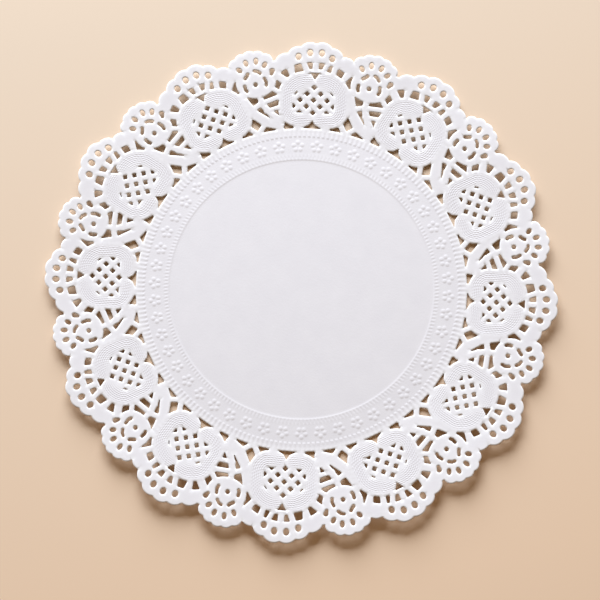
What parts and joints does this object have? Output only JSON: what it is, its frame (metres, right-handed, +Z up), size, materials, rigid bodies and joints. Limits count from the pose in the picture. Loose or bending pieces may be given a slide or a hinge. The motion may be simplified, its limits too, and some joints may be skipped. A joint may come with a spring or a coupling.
{
  "type": "paper doily",
  "caption": "Round paper doily with a plain centre, raised rings and a die-cut lace rim of medallions, rosettes and scallops",
  "frame": {"origin": "Centre of the flat underside, where the plain middle rests on the table.", "axes": "+Z points up out of the embossed face. +Y points to the edge at the top of the picture, four degrees left of one medallion's axis, and +X to its right."},
  "size_m": [0.2538, 0.2537, 0.0056],
  "materials": {
    "paper": "matte, embossed and die-cut"
  },
  "bodies": {
    "root": {"doily_sheet": "paper"}
  },
  "joints": []
}
